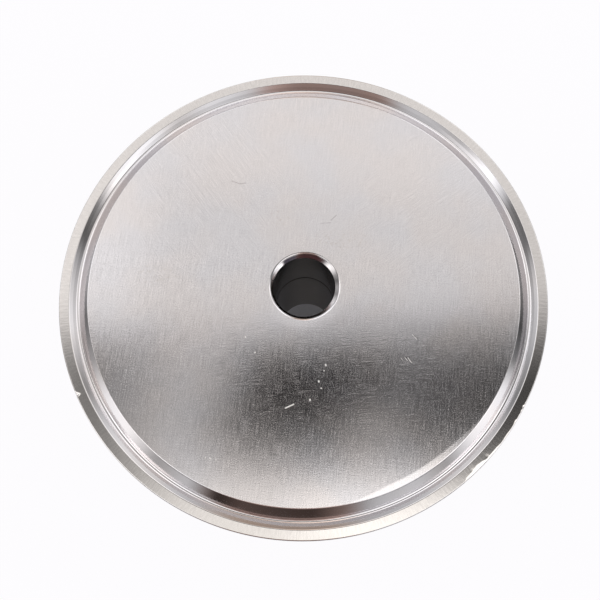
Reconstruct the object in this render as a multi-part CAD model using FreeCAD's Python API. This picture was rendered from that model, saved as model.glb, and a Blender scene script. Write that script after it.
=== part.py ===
"""Sanitary clamp reducer, from a 4 inch clamp down to a 3/4 inch line, in stainless steel.

A thick round cap takes the large clamp. A short neck, bored right through, comes off its back
and ends in a small ferrule that takes the small clamp. Cap, neck and ferrule are welded, then
bored and turned as one piece, so the model is one solid.

Millimetres, +Z up. The origin is the centre of the small sealing face, on the surface that
the part stands on. The large sealing face looks up.
"""

import FreeCAD, Part
import math
import os

from FreeCAD import Vector

os.makedirs("parts", exist_ok=True)

# Whole part
TOTAL_HEIGHT = 40.0  # from the small sealing face to the large one
BORE_DIAMETER = 15.2

# Large end
CAP_DIAMETER = 119.0
CAP_THICKNESS = 6.35
CAP_GROOVE_DIAMETER = 109.8  # at the middle of the gasket groove

# Small end
FERRULE_DIAMETER = 50.5
FERRULE_THICKNESS = 6.35
FERRULE_GROOVE_DIAMETER = 43.5

# Rim and gasket seat, the same on both ends
CLAMP_ANGLE = 20.0  # slope of the back of the rim, in degrees, that the clamp pulls on
RIM_THICKNESS = 2.85  # at the outer edge
FACE_STEP = 0.4  # how far the sealing face stands proud of the land round the groove
GROOVE_DEPTH = 1.4  # below the land
GROOVE_SLOPE = 41.0  # of both flanks, in degrees
GROOVE_FLOOR_RADIUS = 0.75
FLOOR_CHORDS = 5  # the flats that stand for the floor's arc, each within 0.01 mm of it
EDGE_BREAK = 0.3  # chamfer on the edges of the rim

# Neck
NECK_DIAMETER = 19.05
CAP_ROOT_RADIUS = 2.5
FERRULE_ROOT_RADIUS = 3.0

# Butt weld halfway down the neck, ground outside and left as a fine seam in the bore
WELD_DEPTH = 16.0  # below the large sealing face
WELD_WIDTH = 3.2
WELD_CROWN = 0.15
SEAM_WIDTH = 0.7
SEAM_DEPTH = 0.15

# Mouths of the bore
CAP_MOUTH_WIDTH = 0.86  # of the chamfer, across
CAP_MOUTH_DEPTH = 1.0  # of the chamfer, along the bore
FERRULE_MOUTH_BREAK = 0.3

UP = Vector(0, 0, 1)
NEAR = 1e-3  # two sizes closer than this are the same


def at(radius, height):
    """A point of a section, which is drawn in the half plane that holds the axis."""
    return Vector(radius, 0, height)


def lines(points):
    """The straight edges that join the points in turn."""
    return [Part.makeLine(start, end) for start, end in zip(points, points[1:])]


def arc(start, middle, end):
    """The edge through three points on an arc."""
    return Part.Arc(start, middle, end).toShape()


def turned(edges):
    """The solid that a closed outline makes in one turn about the axis."""
    section = Part.Face(Part.Wire(edges))
    return section.revolve(at(0, 0), UP, 360)


def turned_segment(radius, height, width, crown):
    """A bead or seam on a cylinder about the axis: a circular segment as wide as given.

    The crown is how far it reaches from the cylinder's wall, and the chord lies on the wall.
    """
    low = at(radius, height - width / 2)
    high = at(radius, height + width / 2)
    return turned([arc(low, at(radius + crown, height), high), Part.makeLine(high, low)])


def clamp_end(diameter, thickness, groove_diameter):
    """One clamp end, its sealing face at height 0 and its back towards +Z.

    The rim is as thick at its edge as the clamp needs. Behind it the back rises at the clamp's
    angle to the full thickness. In front, a groove with a round floor for the gasket parts
    the sealing face from the land, which is a step lower.
    """
    radius = diameter / 2
    rim_back = FACE_STEP + RIM_THICKNESS
    slope = math.radians(CLAMP_ANGLE)
    back_radius = radius - (thickness - rim_back) / math.tan(slope)

    groove_centre = groove_diameter / 2
    groove_floor = FACE_STEP + GROOVE_DEPTH
    flank = math.radians(GROOVE_SLOPE)
    floor_half = GROOVE_FLOOR_RADIUS * math.sin(flank)
    flank_foot = groove_floor - GROOVE_FLOOR_RADIUS * (1 - math.cos(flank))
    inner = groove_centre - floor_half - flank_foot / math.tan(flank)
    outer = groove_centre + floor_half + (flank_foot - FACE_STEP) / math.tan(flank)

    floor = arc(
        at(groove_centre - floor_half, flank_foot),
        at(groove_centre, groove_floor),
        at(groove_centre + floor_half, flank_foot),
    )
    outline = [
        at(0, 0),
        at(inner, 0),
        *floor.discretize(FLOOR_CHORDS + 1),
        at(outer, FACE_STEP),
        at(radius - EDGE_BREAK, FACE_STEP),
        at(radius, FACE_STEP + EDGE_BREAK),
        at(radius, rim_back - EDGE_BREAK),
        at(radius - EDGE_BREAK * math.cos(slope), rim_back + EDGE_BREAK * math.sin(slope)),
        at(back_radius, thickness),
        at(0, thickness),
        at(0, 0),
    ]
    return turned(lines(outline))


def ring_edges(shape, radius, height):
    """The circular edges of a shape at one radius and height."""
    found = []
    for edge in shape.Edges:
        if isinstance(edge.Curve, Part.Circle):
            same_radius = abs(edge.Curve.Radius - radius) < NEAR
            same_height = abs(edge.Curve.Center.z - height) < NEAR
            if same_radius and same_height:
                found.append(edge)
    return found


def reducer_body():
    """Cap, neck and ferrule as one piece, bored through."""
    cap_back = TOTAL_HEIGHT - CAP_THICKNESS
    cap = clamp_end(CAP_DIAMETER, CAP_THICKNESS, CAP_GROOVE_DIAMETER)
    cap.rotate(at(0, 0), Vector(1, 0, 0), 180)
    cap.translate(at(0, TOTAL_HEIGHT))
    ferrule = clamp_end(FERRULE_DIAMETER, FERRULE_THICKNESS, FERRULE_GROOVE_DIAMETER)

    neck_radius = NECK_DIAMETER / 2
    neck_length = cap_back - FERRULE_THICKNESS
    neck = Part.makeCylinder(neck_radius, neck_length, at(0, FERRULE_THICKNESS))
    body = cap.fuse([neck, ferrule]).removeSplitter()
    body = body.makeFillet(CAP_ROOT_RADIUS, ring_edges(body, neck_radius, cap_back))
    body = body.makeFillet(FERRULE_ROOT_RADIUS, ring_edges(body, neck_radius, FERRULE_THICKNESS))

    weld_height = TOTAL_HEIGHT - WELD_DEPTH
    body = body.fuse(turned_segment(neck_radius, weld_height, WELD_WIDTH, WELD_CROWN))

    bore_radius = BORE_DIAMETER / 2
    body = body.cut(Part.makeCylinder(bore_radius, TOTAL_HEIGHT))
    body = body.cut(turned_segment(bore_radius, weld_height, SEAM_WIDTH, SEAM_DEPTH))
    mouth = Part.makeCone(
        bore_radius,
        bore_radius + CAP_MOUTH_WIDTH,
        CAP_MOUTH_DEPTH,
        at(0, TOTAL_HEIGHT - CAP_MOUTH_DEPTH),
    )
    body = body.cut(mouth)
    return body.makeChamfer(FERRULE_MOUTH_BREAK, ring_edges(body, bore_radius, 0))


def one_solid(shape):
    """The shape's only solid, checked."""
    if len(shape.Solids) != 1 or not shape.isValid():
        raise ValueError("the reducer is not one valid solid")
    return shape.Solids[0]


one_solid(reducer_body()).exportStep("parts/reducer_body.step")
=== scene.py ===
import math

import bpy
import numpy as np
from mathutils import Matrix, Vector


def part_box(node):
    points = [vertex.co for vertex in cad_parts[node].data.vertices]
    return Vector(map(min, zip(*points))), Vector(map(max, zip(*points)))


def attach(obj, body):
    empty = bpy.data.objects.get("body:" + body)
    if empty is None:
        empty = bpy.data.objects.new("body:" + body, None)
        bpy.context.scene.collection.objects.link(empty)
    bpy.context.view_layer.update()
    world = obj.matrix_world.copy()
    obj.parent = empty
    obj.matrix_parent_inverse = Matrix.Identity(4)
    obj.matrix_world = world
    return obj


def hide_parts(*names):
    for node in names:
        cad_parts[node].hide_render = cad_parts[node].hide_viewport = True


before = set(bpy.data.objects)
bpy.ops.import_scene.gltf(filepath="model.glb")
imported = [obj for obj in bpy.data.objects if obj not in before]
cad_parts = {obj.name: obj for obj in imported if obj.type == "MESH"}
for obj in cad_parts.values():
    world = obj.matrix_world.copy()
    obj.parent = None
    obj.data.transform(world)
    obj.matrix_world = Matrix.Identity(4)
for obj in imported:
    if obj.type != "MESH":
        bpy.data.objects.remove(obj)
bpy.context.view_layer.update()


# Reducer body
# One piece of stainless steel: the cap, the neck and the small ferrule, welded, bored and turned.
# Its section is a row of corners with tangent arcs, swept round the axis. The sealing face is
# ground to a satin, the gasket groove and the bore's chamfer are polished, the rest is turned.

MM = 0.001
ALMOST = 1e-9

RIM_INSIDE = 0.15  # how far the rim stays inside the solid's box

_, high_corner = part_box("reducer_body")
CAP_RADIUS = high_corner.x / MM - RIM_INSIDE
HEIGHT = high_corner.z / MM

CAP_THICK = 6.35
CAP_GROOVE = 55.05  # where the groove's flanks would meet
FERRULE_RADIUS = 25.25
FERRULE_THICK = 6.35
FERRULE_GROOVE = 21.88
BACK_ANGLE = math.radians(20)
RIM_BACK = 3.25  # the rim's back edge, below the sealing face
FACE_STEP = 0.4
# From here to GROOVE_OUT: the section that a search found to show the photograph's bands best,
# with some numbers changed
GROOVE_INNER = math.radians(35.7)
GROOVE_OUTER = math.radians(39.3)
GROOVE_CORNER = 1.88  # depth at which the groove's flanks would meet
GROOVE_FLOOR = 0.8  # radius of its floor
GROOVE_EDGE = 0.52  # radius of its edge at the face
GROOVE_BEND = 1.07  # the outer flank bends this far outside the corner
BEND_RADIUS = 3.0
GROOVE_OUT = 1.86  # and meets the land this far outside it
NECK_RADIUS = 9.525
CAP_ROOT = 2.5
FERRULE_ROOT = 3.0
BORE_RADIUS = 7.6
MOUTH_WIDE = 0.86  # of the large mouth's chamfer
MOUTH_DEEP = 1.1
MOUTH_EDGE = 0.85  # radius of its edge at the face
BORE_OFF = 0.17  # how far the bore is off the middle of its chamfer, towards -X
FOOT_BREAK = 0.3  # chamfer of the small mouth
SEAM_DOWN = 16.0  # the weld's depth below the large face
SEAM_HALF = 0.28
SEAM_DEEP = 0.15
SEAM_EDGE = 0.05
BEAD_HALF = 1.6  # half the width of the weld's bead on the neck
BEAD_CORNER = 0.24  # how far out the bead's flanks would meet
BEAD_CROWN = 8.0  # radius of its crown
BEAD_TOE = 1.0  # radius where it meets the neck
RIM_EDGE = 0.3
LAND_EDGE = 0.5  # where the groove meets the land
SHARP_EDGE = 0.08

# What the finish of each stretch is, as shares of these
FINISHES = ("ground", "faced", "turned", "dull")
GROUND = (1, 0, 0, 0)
POLISHED = (0, 0, 0, 0)
FACED = (0, 1, 0, 0)
TURNED = (0, 0, 1, 0)
DULL = (0, 0, 0, 1)
SEAM = (0, 0, 0, 2)

# How the ground face falls to the bore's mouth: distances from it, and depths
ROLL_OFF = ((0, 0.08), (0.8, 0.043), (1.6, 0.018), (2.4, 0.004), (3.2, 0))

# Distances from the rim at which the land has rings, so that its edge can be bent there
LAND_RINGS = (1.5, 1.25, 1.05, 0.9, 0.75, 0.6, 0.48, 0.38)

# Distances from the groove at which the face has rings, so that its edge can be rolled off
FACE_RINGS = (1.6, 1.35, 1.1, 0.9, 0.7, 0.5, 0.35)


def groove_rows(corner):
    """The groove's corners, from the edge at the face to the edge at the land."""
    bend_down = GROOVE_CORNER - GROOVE_BEND * math.tan(GROOVE_OUTER)
    return [
        (corner - GROOVE_CORNER / math.tan(GROOVE_INNER), 0, GROOVE_EDGE, 6, POLISHED),
        (corner, GROOVE_CORNER, GROOVE_FLOOR, 10, POLISHED),
        (corner + GROOVE_BEND, bend_down, BEND_RADIUS, 5, POLISHED),
        (corner + GROOVE_OUT, FACE_STEP, LAND_EDGE, 4, FACED),
    ]


def clamp_end(radius, thick, groove, mouth_rows, face_rings, land_rings):
    """Corners of a clamp end, from its bore mouth out to its back.

    Each row is radius, depth below the face, edge radius, steps of the edge and the finish of
    what follows.
    """
    back = radius - (thick - RIM_BACK) / math.tan(BACK_ANGLE)
    rows = list(mouth_rows)
    edge = groove_rows(groove)[0][0]
    rows += [(edge - inward, 0, 0, 1, GROUND) for inward in face_rings]
    rows += groove_rows(groove)
    rows += [(radius - inward, FACE_STEP, 0, 1, FACED) for inward in land_rings]
    rows += [
        (radius, FACE_STEP, RIM_EDGE, 4, TURNED),
        (radius, RIM_BACK, RIM_EDGE, 3, TURNED),
        (back, thick, SHARP_EDGE, 2, TURNED),
    ]
    return rows


def body_corners():
    """Corners of the whole section, once round from the small end's bore mouth and back."""
    small_mouth = [(BORE_RADIUS + FOOT_BREAK, 0, SHARP_EDGE, 2, GROUND)]
    ferrule = clamp_end(FERRULE_RADIUS, FERRULE_THICK, FERRULE_GROOVE, small_mouth, (), ())
    mouth = BORE_RADIUS + MOUTH_WIDE
    large_mouth = [(mouth + out, down, 0 if out else MOUTH_EDGE, 6, GROUND) for out, down in ROLL_OFF]
    cap = clamp_end(CAP_RADIUS, CAP_THICK, CAP_GROOVE, large_mouth, FACE_RINGS, LAND_RINGS)
    bead = HEIGHT - SEAM_DOWN
    rows = [(r, z, edge, max(1, steps // 3), finish) for r, z, edge, steps, finish in ferrule]
    rows += [
        (NECK_RADIUS, FERRULE_THICK, FERRULE_ROOT, 6, TURNED),
        (NECK_RADIUS, bead - BEAD_HALF, BEAD_TOE, 2, TURNED),
        (NECK_RADIUS + BEAD_CORNER, bead, BEAD_CROWN, 2, TURNED),
        (NECK_RADIUS, bead + BEAD_HALF, BEAD_TOE, 2, TURNED),
        (NECK_RADIUS, HEIGHT - CAP_THICK, CAP_ROOT, 6, TURNED),
    ]
    for k in range(len(cap) - 1, -1, -1):
        r, down, edge, steps, _ = cap[k]
        rows.append((r, HEIGHT - down, edge, steps, cap[k - 1][4] if k else POLISHED))
    rows += [
        (BORE_RADIUS, HEIGHT - MOUTH_DEEP, SHARP_EDGE, 2, DULL),
        (BORE_RADIUS, bead + SEAM_HALF, SEAM_EDGE, 1, SEAM),
        (BORE_RADIUS + SEAM_DEEP, bead, SEAM_EDGE, 2, SEAM),
        (BORE_RADIUS, bead - SEAM_HALF, SEAM_EDGE, 1, DULL),
        (BORE_RADIUS, FOOT_BREAK, SHARP_EDGE, 1, DULL),
    ]
    return rows


def rounded(rows):
    """Points, normals and finishes round a closed section whose corners are tangent arcs.

    At a corner with edge radius e between two straight stretches that turn by the angle t, the
    arc starts e * tan(t / 2) before the corner. Its centre lies e along the stretch's normal.
    """
    points, normals, finishes = [], [], []
    for k, (r, z, edge, steps, finish) in enumerate(rows):
        corner = np.array([r, z])
        before = corner - np.array(rows[k - 1][:2])
        after = np.array(rows[(k + 1) % len(rows)][:2]) - corner
        before /= np.linalg.norm(before)
        after /= np.linalg.norm(after)
        turn = math.atan2(before[0] * after[1] - before[1] * after[0], before @ after)
        side = 1 if turn > 0 else -1
        out = np.array([before[1], -before[0]])
        came = rows[k - 1][4]
        plain = edge < ALMOST or abs(turn) < ALMOST
        shares = [0.5] if plain else np.linspace(0, 1, steps + 1)
        centre = corner - before * edge * math.tan(abs(turn) / 2) - side * edge * out
        for share in shares:
            cos, sin = math.cos(turn * share), math.sin(turn * share)
            normal = np.array([cos * out[0] - sin * out[1], sin * out[0] + cos * out[1]])
            points.append(corner if plain else centre + side * edge * normal)
            normals.append(normal)
            mixed = [a * (1 - share) + b * share for a, b in zip(came, finish)]
            finishes.append(finish if plain else mixed)
    return np.array(points), np.array(normals), np.array(finishes, float)


section, section_normals, section_finish = rounded(body_corners())

# Turns of the columns in degrees: closer together where the rim's edge is bent
COARSE = 0.6
FINE = 0.16
BENT_SECTORS = ((206.5, 212.0), (310.0, 343.0))
columns = []
turned_to = 0.0
while turned_to < 360 - COARSE / 2:
    columns.append(turned_to)
    in_sector = any(low <= turned_to < high for low, high in BENT_SECTORS)
    turned_to += FINE if in_sector else COARSE
turns = np.radians(columns)

# Turn in degrees, width in mm and slope in degrees of the land's bent edge; between the rows
# it changes steadily. Most turns and widths were read off the photograph
BENT_EDGE = (
    (208.7, 0, 13), (209.2, 0.35, 13), (210.0, 1.15, 13), (210.25, 0.9, 13), (210.35, 0, 13),
    (310.9, 0, 11), (312.0, 0.55, 11), (313.1, 0.65, 11), (314.2, 0.78, 11), (315.6, 1.05, 11),
    (317.1, 0.82, 11), (318.0, 0.5, 11), (319.8, 0.5, 11), (321.8, 0.47, 11), (323.4, 0.24, 11),
    (324.6, 0.36, 13), (325.6, 0.4, 12), (326.4, 0.34, 13), (327.4, 0.24, 13), (328.1, 0.3, 13),
    (329.3, 0.5, 13), (329.9, 0.3, 13), (330.8, 0.33, 13), (331.4, 0.28, 13), (332.0, 0.43, 13),
    (332.5, 0.3, 13), (333.3, 0.58, 13), (333.6, 0.3, 13), (334.2, 0.32, 13), (335.2, 0.17, 13),
    (336.1, 0.15, 13), (337.1, 0.07, 13), (338.1, 0.1, 13), (338.5, 0, 13), (340.6, 0, 13),
    (340.9, 0.1, 13), (341.3, 0, 13),
)
BENT_FROM = CAP_GROOVE + 2  # radius outside which the land can be bent
BENT_FADE = 1.2  # depth at which the bend has faded out down the rim's side

# How the face's edge along the groove is polished off: turn in degrees, and width in mm
ROLLED_EDGE = ((283, 0), (295, 1.4), (305, 1.5), (315, 1.3), (326, 0.4), (338, 0))
ROLLED_SLOPE = math.radians(2.7)
ROLLED_PAST = 0.3  # it takes the groove's edge along, this far out
GROOVE_START = CAP_GROOVE - GROOVE_CORNER / math.tan(GROOVE_INNER)

# The large mouth's chamfer is cut a little askew, a guess that gives the light band seen there
# in the photograph: the turn of its shallowest side and how far that side reaches round, in
# degrees, and the share by which it is shallower
SHALLOW_TURN = -33
SHALLOW_REACH = 118
SHALLOWER = 0.3

# Small dents in the edge of the land: turn in degrees, radius, size and depth in mm
DENTS = ((318.8, 58.65, 0.5, 0.02), (314.2, 58.6, 0.55, 0.02))


def bent(r, z, angles):
    """Heights with the land's edge turned down outside a radius that changes round the rim.

    The drop is the slope times how far the point lies outside that radius. It fades out down
    the rim's side. The dents come on top.
    """
    edge_turns, edge_widths, edge_slopes = np.array(BENT_EDGE).T
    width = np.interp(np.degrees(angles), edge_turns, edge_widths)
    slope = np.tan(np.radians(np.interp(np.degrees(angles), edge_turns, edge_slopes)))
    below = HEIGHT - FACE_STEP - z
    outside = np.clip(r - (CAP_RADIUS - width), 0, None)
    on_edge = np.clip(1 - below / BENT_FADE, 0, 1) * (r > BENT_FROM) * (below > -ALMOST)
    drop = slope * outside
    for turn, at_radius, size, depth in DENTS:
        along = (angles - math.radians(turn)) * at_radius
        drop = drop + depth * np.exp(-(along**2 + (r - at_radius) ** 2) / size**2)
    return z - drop * on_edge


def askew(r, z, angles):
    """Heights with one side of the large mouth's chamfer cut shallower than the rest."""
    off = (np.degrees(angles) - SHALLOW_TURN + 180) % 360 - 180
    share = np.clip(1 - abs(off) / SHALLOW_REACH, 0, 1)
    share = share * share * (3 - 2 * share)
    in_mouth = (z > HEIGHT - MOUTH_DEEP - SHARP_EDGE) * (r < 2 * BORE_RADIUS)
    return z + (HEIGHT - z) * SHALLOWER * share * in_mouth


def rolled_off(r, z, angles):
    """Radii and heights with the face's edge polished off down the groove's inner flank."""
    width = np.interp(np.degrees(angles), *np.array(ROLLED_EDGE).T)
    share = np.clip((r - GROOVE_START) / np.maximum(width, ALMOST) + 1, 0, 1)
    on_face = (z > HEIGHT - FACE_STEP / 2) * (r < GROOVE_START + ROLLED_PAST)
    drop = share * width * math.tan(ROLLED_SLOPE) * on_face
    return r + drop / math.tan(GROOVE_INNER), z - drop


def swept(radii, heights):
    """Points, or directions, of the section's rows at every turn round the axis."""
    return np.stack([np.cos(turns)[:, None] * radii, np.sin(turns)[:, None] * radii, heights], -1)


def slopes_of(points):
    """Normals of a closed grid of points from its neighbours along both ways."""
    along = np.roll(points, -1, 1) - np.roll(points, 1, 1)
    across = np.roll(points, -1, 0) - np.roll(points, 1, 0)
    normal = np.cross(across, along)
    return normal / np.linalg.norm(normal, axis=-1, keepdims=True)


section_radii, plain_heights, out_normals, up_normals = [
    np.tile(values, (len(turns), 1)) for values in (*section.T, *section_normals.T)
]
askew_heights = askew(section_radii, plain_heights, turns[:, None])
bent_heights = bent(section_radii, askew_heights, turns[:, None])
body_points = swept(*rolled_off(section_radii, bent_heights, turns[:, None]))
body_normals = swept(out_normals, up_normals)
body_normals += slopes_of(body_points) - slopes_of(swept(section_radii, plain_heights))
body_normals /= np.linalg.norm(body_normals, axis=-1, keepdims=True)
body_points[..., 0] -= BORE_OFF * (section_radii < BORE_RADIUS + SEAM_DEEP + ALMOST)

rows_in_section = len(section)
column = np.arange(len(turns))[:, None] * rows_in_section
row = np.arange(rows_in_section)[None, :]
next_column = (column + rows_in_section) % (len(turns) * rows_in_section)
next_row = (row + 1) % rows_in_section
quads = np.stack([column + row, next_column + row, next_column + next_row, column + next_row], -1)

body_mesh = bpy.data.meshes.new("reducer")
body_mesh.from_pydata(body_points.reshape(-1, 3) * MM, [], quads.reshape(-1, 4))
body_mesh.update()
body_mesh.shade_smooth()
body_mesh.normals_split_custom_set_from_vertices(body_normals.reshape(-1, 3))
for channel, name in enumerate(FINISHES):
    layer = body_mesh.attributes.new(name, "FLOAT", "POINT")
    layer.data.foreach_set("value", np.tile(section_finish[:, channel], len(turns)).astype(np.float32))
reducer = bpy.data.objects.new("reducer", body_mesh)
bpy.context.scene.collection.objects.link(reducer)


def link_value(tree, value, socket):
    """Feeds a socket from another socket, or sets it to a number or colour."""
    if isinstance(value, bpy.types.NodeSocket):
        tree.links.new(value, socket)
    else:
        socket.default_value = value


def calculate(tree, operation, *values, clamp=False):
    """A Math node's result."""
    node = tree.nodes.new("ShaderNodeMath")
    node.operation = operation
    node.use_clamp = clamp
    for socket, value in zip(node.inputs, values):
        link_value(tree, value, socket)
    return node.outputs[0]


def on_vectors(tree, operation, first, second=None, output="Vector"):
    """A Vector Math node's result."""
    node = tree.nodes.new("ShaderNodeVectorMath")
    node.operation = operation
    link_value(tree, first, node.inputs[0])
    if second is not None:
        link_value(tree, second, node.inputs["Scale"] if operation == "SCALE" else node.inputs[1])
    return node.outputs[output]


def smooth_step(tree, value, low, high):
    """A smooth step from 0 at low to 1 at high."""
    node = tree.nodes.new("ShaderNodeMapRange")
    node.interpolation_type = "SMOOTHSTEP"
    link_value(tree, value, node.inputs["Value"])
    link_value(tree, low, node.inputs["From Min"])
    link_value(tree, high, node.inputs["From Max"])
    return node.outputs["Result"]


def blend(tree, share, first, second, kind="RGBA"):
    """First at share 0, second at share 1, for colours or numbers."""
    node = tree.nodes.new("ShaderNodeMix")
    node.data_type = kind
    link_value(tree, share, node.inputs["Factor"])
    link_value(tree, first, node.inputs["A"])
    link_value(tree, second, node.inputs["B"])
    return node.outputs["Result"]


def noise(tree, vector, scale, detail=2.0, roughness=0.5):
    """A Noise Texture's value, about 0.5 in the middle."""
    node = tree.nodes.new("ShaderNodeTexNoise")
    link_value(tree, vector, node.inputs["Vector"])
    node.inputs["Scale"].default_value = scale
    node.inputs["Detail"].default_value = detail
    node.inputs["Roughness"].default_value = roughness
    return node.outputs["Fac"]


def attribute(tree, name):
    """A number that the mesh holds."""
    node = tree.nodes.new("ShaderNodeAttribute")
    node.attribute_name = name
    return node.outputs["Fac"]


def new_group(name, inputs):
    """A node group, the sockets of its inputs and the socket of its one output, a number."""
    group = bpy.data.node_groups.new(name, "ShaderNodeTree")
    for label, kind in inputs:
        group.interface.new_socket(label, in_out="INPUT", socket_type=kind)
    group.interface.new_socket("Value", in_out="OUTPUT", socket_type="NodeSocketFloat")
    given = group.nodes.new("NodeGroupInput").outputs
    result = group.nodes.new("NodeGroupOutput").inputs[0]
    return group, given, result


def use_group(tree, group, *values):
    """A group's result for the given inputs."""
    node = tree.nodes.new("ShaderNodeGroup")
    node.node_tree = group
    for socket, value in zip(node.inputs, values):
        link_value(tree, value, socket)
    return node.outputs[0]


LINE_SHORTNESS = 0.055  # width of a grinding line as a share of its length


def grain_group():
    """Fine grinding lines along one direction, from noise that is stretched along it."""
    inputs = [("Place", "NodeSocketVector"), ("Turn", "NodeSocketFloat"), ("Width", "NodeSocketFloat")]
    group, given, result = new_group("grain", inputs)
    turn = group.nodes.new("ShaderNodeVectorRotate")
    turn.rotation_type = "Z_AXIS"
    group.links.new(given["Place"], turn.inputs["Vector"])
    group.links.new(calculate(group, "MULTIPLY", given["Turn"], -1), turn.inputs["Angle"])
    size = group.nodes.new("ShaderNodeCombineXYZ")
    group.links.new(calculate(group, "DIVIDE", LINE_SHORTNESS, given["Width"]), size.inputs[0])
    group.links.new(calculate(group, "DIVIDE", 1, given["Width"]), size.inputs[1])
    stretched = on_vectors(group, "MULTIPLY", turn.outputs[0], size.outputs[0])
    group.links.new(noise(group, stretched, scale=1, detail=4, roughness=0.65), result)
    return group


MARK_EDGE = (1.3, 0.6)  # shares of its half width between which a mark begins


def mark_group():
    """1 on a short stroke between two places and 0 off it, by the distance to its nearest point."""
    inputs = [(name, "NodeSocketVector") for name in ("Place", "From", "To")]
    group, given, result = new_group("mark", inputs + [("Half Width", "NodeSocketFloat")])
    along = on_vectors(group, "SUBTRACT", given["To"], given["From"])
    reach = on_vectors(group, "SUBTRACT", given["Place"], given["From"])
    dot = on_vectors(group, "DOT_PRODUCT", reach, along, "Value")
    length = on_vectors(group, "DOT_PRODUCT", along, along, "Value")
    share = calculate(group, "DIVIDE", dot, length, clamp=True)
    off = on_vectors(group, "SUBTRACT", reach, on_vectors(group, "SCALE", along, share))
    distance = on_vectors(group, "LENGTH", off, output="Value")
    outer, inner = [calculate(group, "MULTIPLY", given["Half Width"], share) for share in MARK_EDGE]
    group.links.new(smooth_step(group, distance, outer, inner), result)
    return group


SPECKLED = 0.45  # share of fine speckle in the ground face's texture
STEEL = (0.683, 0.646, 0.645, 1)
STEEL_COOL = (0.662, 0.645, 0.665, 1)
FACED_STEEL = (0.65, 0.62, 0.605, 1)
# Painted shade in the bore: its wall is coloured darker than the steel, and darker still at its sides
BORE_STEEL_PAINTED_SHADE = (0.38, 0.355, 0.33, 1)
BORE_SIDES_PAINTED_SHADE = (0.16, 0.15, 0.145, 1)
SEAM_STEEL = (0.12, 0.11, 0.10, 1)
STAIN = (0.50, 0.44, 0.36, 1)
SCRATCHED = (0.20, 0.18, 0.17, 1)
PECK_GLINT_COLOUR = (0.95, 0.93, 0.90, 1)

# Grinding lines that cross all over the face: directions in degrees and width in mm
WOVEN = (87, -4)
ACROSS = 0.3  # share of the second direction
WOVEN_WIDTH = 0.26

# Places with lines one way: direction in degrees, width in mm, middle and radii in mm
GRAIN = (
    (128, 0.30, (-26, 26), (30, 26)),
    (40, 0.30, (30, 26), (30, 28)),
    (8, 0.27, (8, -20), (44, 17)),
)

# Pecks and scratches on the face, painted near white as glints: from and to in mm, half width in mm
BRIGHT_MARKS = (
    ((6.09, -19.27), (6.14, -19.5), 0.19),
    ((5.77, -20.73), (5.8, -20.8), 0.12),
    ((4.67, -23.25), (4.72, -23.5), 0.18),
    ((5.34, -24.96), (5.4, -25.0), 0.13),
    ((2.89, -27.75), (2.9, -27.9), 0.18),
    ((-2.65, -30.04), (-0.82, -29.08), 0.15),
    ((-10.81, -17.29), (-10.7, -17.3), 0.17),
    ((-13.41, -13.65), (-13.3, -13.7), 0.18),
    ((-20.08, -42.3), (-20.0, -42.32), 0.1),
    ((-18.91, -42.39), (-18.85, -42.44), 0.18),
    ((-17.6, -42.64), (-17.56, -42.67), 0.12),
    ((25.4, -16.54), (26.4, -17.79), 0.05),
    ((24.64, -16.46), (25.35, -17.31), 0.04),
    ((23.75, -16.7), (24.26, -17.28), 0.03),
    ((26.36, -10.85), (27.5, -12.0), 0.035),
)

# Dark scratches on the face
DARK_MARKS = (
    ((-20.12, 26.87), (-18.1, 26.2), 0.14),
    ((-18.1, 26.2), (-16.6, 26.5), 0.18),
    ((6.75, 19.0), (5.5, 17.6), 0.13),
    ((5.5, 16.9), (3.0, 16.6), 0.09),
    ((26.6, -10.72), (27.75, -11.9), 0.07),
    ((25.65, -16.42), (26.6, -17.6), 0.07),
)

# Stained places on the face: middle and radii in mm
STAINS = (
    ((-36.3, 0.9), (6.5, 3.2)),
    ((-6.9, 18.2), (3.2, 3.0)),
    ((8.5, 12.6), (8.0, 3.0)),
)
BLOB_EDGE = (1.15, 0.55)  # shares of its radii between which a place begins

# How often noise repeats over the face, in each mm: the tint, the flatness, the way that
# places with lines one way wander, stains and speckle
TINT_SCALE = 0.05
WAVE_SCALE = 0.045
WANDER_SCALE = 0.12
WANDER = 8  # mm, to both sides
BLOTCH_SCALE = 1.1
SPECKLE_SCALE = 4.2

# Values of the noise between which the second tint, a blotch and a rough streak begin
TINT_AT = (0.35, 0.65)
BLOTCH_AT = (0.50, 0.68)
STREAK_AT = (0.33, 0.70)

# Lines across the land, in each radian and along them in each mm, and turning lines
RADIAL_LINES = 110
RADIAL_ALONG = 0.5
TURNING_LINES = 3.2

# How strongly the texture shows in the face's colour: least above the bore, and more below
# it, with the places along Y between which it grows, in mm. The growth below the bore is
# painted light: the grain's glints and shade in the face's dark reflections there
CONTRAST = 0.7
PAINTED_SHEEN_BELOW = 1.0
BELOW_FROM, BELOW_TO = 16, 2

# Level of the land's colour in the darkest of its lines, and how much lighter the rest is
FACED_DARKEST = 0.85
FACED_CONTRAST = 0.3

# Half the width, in mm, of the bore's far wall that is lighter than its sides, which carry more painted
# shade
UNSHADED_FAR_WALL_HALF = 1.5

# Share of each kind of wear in the colour, and of the pecks' painted glint
STAIN_SHARE = 0.25
SCRATCH_SHARE = 0.25
PECK_SHARE = 0.8

# Roughness of the polished metal, and what each finish adds to it
ROUGHNESS = 0.12
GROUND_ROUGHER = -0.04
STREAK_ROUGHER = 0.18
FACED_ROUGHER = 0.01
TURNED_ROUGHER = 0.08
DULL_ROUGHER = 0.13
PECK_ROUGHER = 0.5

# Heights of the finest relief, in mm
WAVE_HIGH = 0.05
LINES_HIGH = 0.010
SPECKLE_HIGH = 0.006
RADIAL_HIGH = 0.008
TURNING_HIGH = 0.004


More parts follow.
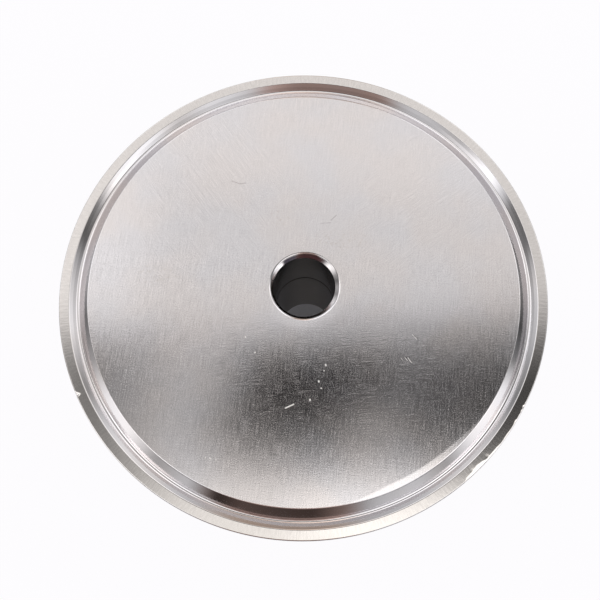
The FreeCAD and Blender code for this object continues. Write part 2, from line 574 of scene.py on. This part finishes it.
def blob(tree, place, middle, reach):
    """1 in the middle of an ellipse, fading to 0 at its edge."""
    shifted = on_vectors(tree, "SUBTRACT", place, (middle[0], middle[1], 0))
    scaled = on_vectors(tree, "DIVIDE", shifted, (reach[0], reach[1], 1))
    return smooth_step(tree, on_vectors(tree, "LENGTH", scaled, output="Value"), *BLOB_EDGE)


def any_of(tree, masks):
    """The greatest of some masks."""
    found = masks[0]
    for mask in masks[1:]:
        found = calculate(tree, "MAXIMUM", found, mask)
    return found


def stainless_steel():
    """Ground, faced, turned, dull and polished finishes on one metal, with painted shade in the bore,
    painted glints on the face's pecks and painted light in the face's stronger texture below the bore.
    """
    material = bpy.data.materials.new("stainless_steel")
    material.use_nodes = True
    tree = material.node_tree
    shader = tree.nodes["Principled BSDF"]
    shader.inputs["Metallic"].default_value = 1
    ground, faced, turned, dull = [attribute(tree, name) for name in FINISHES]

    coordinates = tree.nodes.new("ShaderNodeTexCoord")
    place = on_vectors(tree, "SCALE", coordinates.outputs["Object"], 1 / MM)
    flat = on_vectors(tree, "MULTIPLY", place, (1, 1, 0))
    parts = tree.nodes.new("ShaderNodeSeparateXYZ")
    tree.links.new(place, parts.inputs[0])
    radius = on_vectors(tree, "LENGTH", flat, output="Value")
    angle = calculate(tree, "ARCTAN2", parts.outputs[1], parts.outputs[0])

    grain = grain_group()
    wander = calculate(tree, "MULTIPLY_ADD", noise(tree, flat, WANDER_SCALE), 2 * WANDER, -WANDER)
    wandering = on_vectors(tree, "ADD", flat, wander)  # by the same way along X and Y
    woven = [use_group(tree, grain, flat, math.radians(turn), WOVEN_WIDTH) for turn in WOVEN]
    lines = blend(tree, ACROSS, *woven, "FLOAT")
    for turn, width, middle, reach in GRAIN:
        these = use_group(tree, grain, flat, math.radians(turn), width)
        lines = blend(tree, blob(tree, wandering, middle, reach), lines, these, "FLOAT")

    polar = tree.nodes.new("ShaderNodeCombineXYZ")
    tree.links.new(calculate(tree, "MULTIPLY", angle, RADIAL_LINES), polar.inputs[0])
    tree.links.new(calculate(tree, "MULTIPLY", radius, RADIAL_ALONG), polar.inputs[1])
    radial = noise(tree, polar.outputs[0], scale=1, detail=3, roughness=0.6)
    rings_at = tree.nodes.new("ShaderNodeCombineXYZ")
    tree.links.new(calculate(tree, "MULTIPLY", radius, TURNING_LINES), rings_at.inputs[0])
    tree.links.new(calculate(tree, "MULTIPLY", parts.outputs[2], TURNING_LINES), rings_at.inputs[1])
    rings = noise(tree, rings_at.outputs[0], scale=1, detail=3, roughness=0.6)

    mark = mark_group()
    glinting_marks, dark = [
        any_of(tree, [use_group(tree, mark, flat, (*a, 0), (*b, 0), half) for a, b, half in marks])
        for marks in (BRIGHT_MARKS, DARK_MARKS)
    ]
    stained = any_of(tree, [blob(tree, flat, middle, reach) for middle, reach in STAINS])
    blotches = noise(tree, flat, BLOTCH_SCALE, detail=4, roughness=0.7)
    stained = calculate(tree, "MULTIPLY", stained, smooth_step(tree, blotches, *BLOTCH_AT))
    on_top = calculate(tree, "GREATER_THAN", parts.outputs[2], HEIGHT / 2)
    top_ground_face = calculate(tree, "MULTIPLY", ground, on_top)
    glinting_marks, dark, stained = [calculate(tree, "MULTIPLY", mask, top_ground_face) for mask in (glinting_marks, dark, stained)]

    tint = smooth_step(tree, noise(tree, flat, TINT_SCALE), *TINT_AT)
    colour = blend(tree, tint, STEEL, STEEL_COOL)
    speckle = noise(tree, flat, SPECKLE_SCALE, detail=1)
    texture = blend(tree, SPECKLED, lines, speckle, "FLOAT")
    # Painted light: the grain's contrast in the colour grows below the bore
    below = smooth_step(tree, parts.outputs[1], BELOW_FROM, BELOW_TO)
    contrast = calculate(tree, "MULTIPLY_ADD", below, PAINTED_SHEEN_BELOW, CONTRAST)
    shade = calculate(tree, "MULTIPLY_ADD", calculate(tree, "SUBTRACT", texture, 0.5), contrast, 1)
    shade = blend(tree, top_ground_face, 1.0, shade, "FLOAT")
    colour = on_vectors(tree, "SCALE", colour, shade)
    colour = blend(tree, calculate(tree, "MULTIPLY", stained, STAIN_SHARE), colour, STAIN)
    colour = blend(tree, calculate(tree, "MULTIPLY", dark, SCRATCH_SHARE), colour, SCRATCHED)
    # Painted highlight: real pecks and scratches, coloured near white as glints
    colour = blend(tree, calculate(tree, "MULTIPLY", glinting_marks, PECK_SHARE), colour, PECK_GLINT_COLOUR)
    streaked = calculate(tree, "MULTIPLY_ADD", radial, FACED_CONTRAST, FACED_DARKEST)
    colour = blend(tree, faced, colour, on_vectors(tree, "SCALE", FACED_STEEL[:3], streaked))
    # Painted shade in the bore: a darker wall colour, darkest at its sides
    beside = calculate(tree, "ABSOLUTE", parts.outputs[0])
    bore_painted_shade = blend(tree, smooth_step(tree, beside, UNSHADED_FAR_WALL_HALF, BORE_RADIUS), BORE_STEEL_PAINTED_SHADE, BORE_SIDES_PAINTED_SHADE)
    colour = blend(tree, dull, colour, bore_painted_shade)
    colour = blend(tree, smooth_step(tree, dull, 1, 2), colour, SEAM_STEEL)
    tree.links.new(colour, shader.inputs["Base Color"])

    streak = calculate(tree, "MULTIPLY", smooth_step(tree, texture, *STREAK_AT), ground)
    rough = ROUGHNESS
    rougher = (
        (ground, GROUND_ROUGHER), (streak, STREAK_ROUGHER), (faced, FACED_ROUGHER),
        (turned, TURNED_ROUGHER), (dull, DULL_ROUGHER), (glinting_marks, PECK_ROUGHER),
    )
    for share, more in rougher:
        rough = calculate(tree, "MULTIPLY_ADD", share, more, rough)
    tree.links.new(rough, shader.inputs["Roughness"])

    wave = calculate(tree, "MULTIPLY", noise(tree, flat, WAVE_SCALE, detail=1), WAVE_HIGH)
    height = calculate(tree, "MULTIPLY_ADD", lines, LINES_HIGH, wave)
    height = calculate(tree, "MULTIPLY_ADD", speckle, SPECKLE_HIGH, height)
    height = calculate(tree, "MULTIPLY", height, ground)
    across = calculate(tree, "MULTIPLY", radial, faced)
    height = calculate(tree, "MULTIPLY_ADD", across, RADIAL_HIGH, height)
    around = calculate(tree, "MULTIPLY", rings, turned)
    height = calculate(tree, "MULTIPLY_ADD", around, TURNING_HIGH, height)
    bump = tree.nodes.new("ShaderNodeBump")
    bump.inputs["Distance"].default_value = MM
    tree.links.new(height, bump.inputs["Height"])
    tree.links.new(bump.outputs["Normal"], shader.inputs["Normal"])
    return material


body_mesh.materials.append(stainless_steel())
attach(reducer, "root")
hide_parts("reducer_body")


# Studio
# A plain pale floor, the soft light of a white tent with an opening at the front, and dark
# things beside the camera that the steel reflects. Tent and dark things are invented, and
# fitted so that the steel looks as it does in the photograph.

FLOOR_HALF = 2.0  # in m
FLOOR_COLOUR = (0.85, 0.86, 1.0, 1)
FLOOR_GLOW = (0.995, 0.985, 1.0, 1)
FLOOR_WHITE = 0.96  # how much of the floor's look is plain white, so that shadows stay faint
UNDER_BORE = 0.02  # inside this radius, in m, the floor is only seen through the bore
BORE_WHITE = 0.05  # the same share there


def rectangle(name, half_x, half_y, height):
    """A flat rectangle about the axis, facing up."""
    corners = [(x * half_x, y * half_y, height) for x, y in ((-1, -1), (1, -1), (1, 1), (-1, 1))]
    mesh = bpy.data.meshes.new(name)
    mesh.from_pydata(corners, [], [(0, 1, 2, 3)])
    flat = bpy.data.objects.new(name, mesh)
    bpy.context.scene.collection.objects.link(flat)
    return flat


def floor_material():
    """Pale paper, seen nearly white by the camera and by what mirrors it."""
    material = bpy.data.materials.new("paper")
    material.use_nodes = True
    tree = material.node_tree
    tree.nodes.remove(tree.nodes["Principled BSDF"])
    diffuse = tree.nodes.new("ShaderNodeBsdfDiffuse")
    diffuse.inputs["Color"].default_value = FLOOR_COLOUR
    glow = tree.nodes.new("ShaderNodeEmission")
    glow.inputs["Color"].default_value = FLOOR_GLOW
    path = tree.nodes.new("ShaderNodeLightPath")
    seen = calculate(tree, "MAXIMUM", path.outputs["Is Camera Ray"], path.outputs["Is Glossy Ray"])
    seen = calculate(tree, "MAXIMUM", seen, path.outputs["Is Transmission Ray"])
    place = tree.nodes.new("ShaderNodeTexCoord")
    from_axis = on_vectors(tree, "LENGTH", place.outputs["Object"], output="Value")
    outside = calculate(tree, "GREATER_THAN", from_axis, UNDER_BORE)
    share = calculate(tree, "MULTIPLY_ADD", outside, FLOOR_WHITE - BORE_WHITE, BORE_WHITE)
    share = calculate(tree, "MULTIPLY", seen, share)
    mix = tree.nodes.new("ShaderNodeMixShader")
    tree.links.new(share, mix.inputs[0])
    tree.links.new(diffuse.outputs[0], mix.inputs[1])
    tree.links.new(glow.outputs[0], mix.inputs[2])
    tree.links.new(mix.outputs[0], tree.nodes["Material Output"].inputs["Surface"])
    return material


floor = rectangle("floor", FLOOR_HALF, FLOOR_HALF, 0)
floor.data.materials.append(floor_material())

# Light by direction, as the roof's colours and as levels of the walls up to the strongest
STRONGEST = 3.0
ROOF = (1.03, 1.015, 1.0, 1)
FRONT_ROOF = (1.44, 1.42, 1.39, 1)
ROOF_EDGE = (1.85, 1.82, 1.75, 1)

# Where the roof begins, grows brighter or ends, as X, Y or Z of the direction
FRONT_ROOF_AT = (0.22, 0.11)
ROOF_EDGE_AT = (0.06, 0.01)
ROOF_LEFT_AT = (-0.19, -0.33)
ROOF_LEFT_MORE = 0.15
WALL_TOP = (0.80, 0.74)
FRONT_WALL_AT = (-0.03, -0.12)

# Levels of the tent's walls: turn in degrees, and the level there at three heights of the
# direction; between the rows it changes steadily. No known room has them: a least-squares fit
# to the bands in the photograph's groove printed 71 of the 93 levels, and 22 were changed
WALL_HEIGHTS = (0.12, 0.45, 0.85)
WALLS = (
    (0, 0.21, 0.44, 0), (10, 0.07, 0.12, 0), (22, 0.26, 0.59, 1.66), (34, 0.05, 1.03, 3),
    (48, 0.9, 0.21, 2.31), (62, 0.42, 1.43, 1.96), (74, 0.4, 1.1, 3), (86, 0.5, 0.4, 0.33),
    (96, 0.3, 0.6, 2.26), (108, 0.7, 0.6, 2.89), (122, 0.6, 1.2, 2.38), (136, 1.2, 0, 2.33),
    (150, 0.32, 0.66, 3), (162, 0.51, 0.58, 2.99), (174, 0.18, 0.22, 0), (186, 0.45, 0.34, 0),
    (197, 1.2, 1.29, 3), (209, 1.78, 0.63, 2.05), (221, 0.85, 0, 1.48), (233, 1.45, 0.24, 1.06),
    (243, 0.05, 0, 0.53), (252, 0.33, 0, 0.5), (276, 0.2, 0, 0.45), (286, 0.8, 0, 0.8),
    (297, 2.03, 0, 1.26), (310, 2.06, 0, 1.61), (322, 1.02, 0, 1.2), (333, 2.19, 0.04, 2.33),
    (342, 1.48, 1.31, 2.19), (351, 1.2, 1.56, 2.1), (360, 0.21, 0.44, 0),
)
WARM_BACK = (1, 0.80, 0.66)
WARM_FRONT = (1, 0.72, 0.63)
TINTS = (
    (0, 1.0), (78, 1.0), (84, WARM_BACK), (98, WARM_BACK), (104, 1.0), (236, 1.0),
    (243, WARM_FRONT), (286, WARM_FRONT), (293, 1.0),
)

# What stands on the ground in front: colours by turn, up to a height of the direction
GROUND_TOP = 0.235
GROUND_TOP_SOFT = 0.02
GROUND_BROWN = (0.07, 0.030, 0.032)
GROUND_LILAC = (0.07, 0.062, 0.085)
GROUND_FROM, GROUND_TO = 224, 323
GROUND_SIDES = (8, -1)  # degrees past these turns at which it begins
THINGS = (
    (217, 0.45), (230, GROUND_BROWN), (290, GROUND_BROWN), (297, GROUND_LILAC), (322, GROUND_LILAC),
)


def by_turn(tree, turn, rows):
    """A colour, or the same number in all its channels, straight between the rows' turns."""
    node = tree.nodes.new("ShaderNodeValToRGB")
    tree.links.new(calculate(tree, "MULTIPLY", turn, 1 / 360), node.inputs[0])
    elements = node.color_ramp.elements
    places = [at / 360 for at, _ in rows]
    elements[1].position = places[-1]
    elements[0].position = places[0]
    for place in places[1:-1]:
        elements.new(place)
    for element, (_, level) in zip(elements, rows):
        element.color = (*level, 1) if isinstance(level, tuple) else (level, level, level, 1)
    return node.outputs["Color"]


def tent_light():
    """Light of the tent by direction: its roof, its walls and the things in front."""
    world = bpy.data.worlds.new("tent")
    bpy.context.scene.world = world
    world.use_nodes = True
    tree = world.node_tree
    way = tree.nodes.new("ShaderNodeTexCoord").outputs["Generated"]
    parts = tree.nodes.new("ShaderNodeSeparateXYZ")
    tree.links.new(way, parts.inputs[0])
    x, y, z = parts.outputs
    turn = calculate(tree, "MULTIPLY", calculate(tree, "ARCTAN2", y, x), 180 / math.pi)
    turn = calculate(tree, "WRAP", turn, 360, 0)

    levels = []
    for column in (1, 2, 3):
        rows = [(row[0], row[column] / STRONGEST) for row in WALLS]
        levels.append(by_turn(tree, turn, rows))
    walls = levels[0]
    for k in (1, 2):
        share = calculate(tree, "SUBTRACT", z, WALL_HEIGHTS[k - 1])
        share = calculate(tree, "DIVIDE", share, WALL_HEIGHTS[k] - WALL_HEIGHTS[k - 1], clamp=True)
        walls = blend(tree, share, walls, levels[k])
    walls = on_vectors(tree, "MULTIPLY", walls, by_turn(tree, turn, TINTS))
    walls = on_vectors(tree, "SCALE", walls, STRONGEST)

    roof = blend(tree, smooth_step(tree, y, *FRONT_ROOF_AT), ROOF, FRONT_ROOF)
    roof = blend(tree, smooth_step(tree, y, *ROOF_EDGE_AT), roof, ROOF_EDGE)
    left = calculate(tree, "MULTIPLY_ADD", smooth_step(tree, x, *ROOF_LEFT_AT), ROOF_LEFT_MORE, 1)
    roof = on_vectors(tree, "SCALE", roof, left)
    low = smooth_step(tree, z, *WALL_TOP)
    front = smooth_step(tree, y, *FRONT_WALL_AT)
    light = blend(tree, calculate(tree, "MAXIMUM", low, front), roof, walls)

    off_middle = calculate(tree, "SUBTRACT", turn, (GROUND_FROM + GROUND_TO) / 2)
    half_width = (GROUND_TO - GROUND_FROM) / 2
    off_middle = calculate(tree, "ABSOLUTE", off_middle)
    ground = smooth_step(tree, off_middle, *[half_width + past for past in GROUND_SIDES])
    under = smooth_step(tree, z, GROUND_TOP + GROUND_TOP_SOFT, GROUND_TOP - GROUND_TOP_SOFT)
    ground = calculate(tree, "MULTIPLY", ground, under)
    light = blend(tree, ground, light, by_turn(tree, turn, THINGS))

    path = tree.nodes.new("ShaderNodeLightPath")
    light = blend(tree, path.outputs["Is Camera Ray"], light, (1, 1, 1, 1))
    tree.links.new(light, tree.nodes["Background"].inputs["Color"])


tent_light()

# Dark things at the camera's height, as soft-edged boxes that shade the light from above: their
# middle, half sizes and softness of the edges across and along, in mm, and the share of the
# light that each takes. They are the rounded result of a least-squares fit to the light on the
# photograph's flat face, with some numbers changed
SHADES = (
    (37, 43, 122, 69, 4, 34, 0.12),
    (-9, 9, 28, 19, 40, 19, 0.99),
    (48, 6, 50, 37, 35, 32, 0.54),
    (-16, -14, 34, 16, 55, 27, 0.76),
    (-76, -18, 76, 54, 49, 24, 0.30),
    (84, 5, 47, 27, 36, 37, 0.8),
    (113, 19, 24, 31, 80, 45, 0.88),
    (-104, -20, 29, 45, 60, 31, 0.76),
    (20, 15, 18, 13, 33, 14, 0.85),
)
SHADE_HEIGHT = 217.75 * MM
SHADE_HALF = (0.20, 0.16)  # in m


def shade_material():
    """Clear, but for the soft boxes, which take their share of the light."""
    material = bpy.data.materials.new("shade")
    material.use_nodes = True
    tree = material.node_tree
    tree.nodes.remove(tree.nodes["Principled BSDF"])
    parts = tree.nodes.new("ShaderNodeSeparateXYZ")
    place = tree.nodes.new("ShaderNodeTexCoord").outputs["Object"]
    tree.links.new(on_vectors(tree, "SCALE", place, 1 / MM), parts.inputs[0])
    clear = 1.0
    for x, y, half_x, half_y, soft_x, soft_y, taken in SHADES:
        inside = taken
        across = (parts.outputs[0], x, half_x, soft_x)
        along = (parts.outputs[1], y, half_y, soft_y)
        for value, middle, half, soft in (across, along):
            off = calculate(tree, "ABSOLUTE", calculate(tree, "SUBTRACT", value, middle))
            within = smooth_step(tree, off, half + soft / 2, half - soft / 2)
            inside = calculate(tree, "MULTIPLY", within, inside)
        clear = calculate(tree, "MULTIPLY", calculate(tree, "SUBTRACT", 1, inside), clear)
    pass_on = tree.nodes.new("ShaderNodeBsdfTransparent")
    tree.links.new(clear, pass_on.inputs["Color"])
    tree.links.new(pass_on.outputs[0], tree.nodes["Material Output"].inputs["Surface"])
    return material


shade = rectangle("shade", *SHADE_HALF, SHADE_HEIGHT)
shade.visible_camera = False
shade.data.materials.append(shade_material())


# Camera
# Where the photograph was taken from, with its frame's shift to the side.

CAMERA_PLACE = (6.05 * MM, -59.26 * MM, SHADE_HEIGHT)
CAMERA_TILT = math.radians(17.47)
CAMERA_ROLL = math.radians(3.08)

camera_data = bpy.data.cameras.new("camera")
camera_data.lens = 46.25
camera_data.sensor_width = 36
camera_data.shift_x = -0.0483
camera_data.clip_start = 0.01
camera = bpy.data.objects.new("camera", camera_data)
camera.rotation_mode = "ZYX"
camera.rotation_euler = (CAMERA_TILT, 0, CAMERA_ROLL)
camera.location = CAMERA_PLACE
bpy.context.scene.collection.objects.link(camera)
bpy.context.scene.camera = camera

bpy.context.scene.view_settings.view_transform = "Standard"
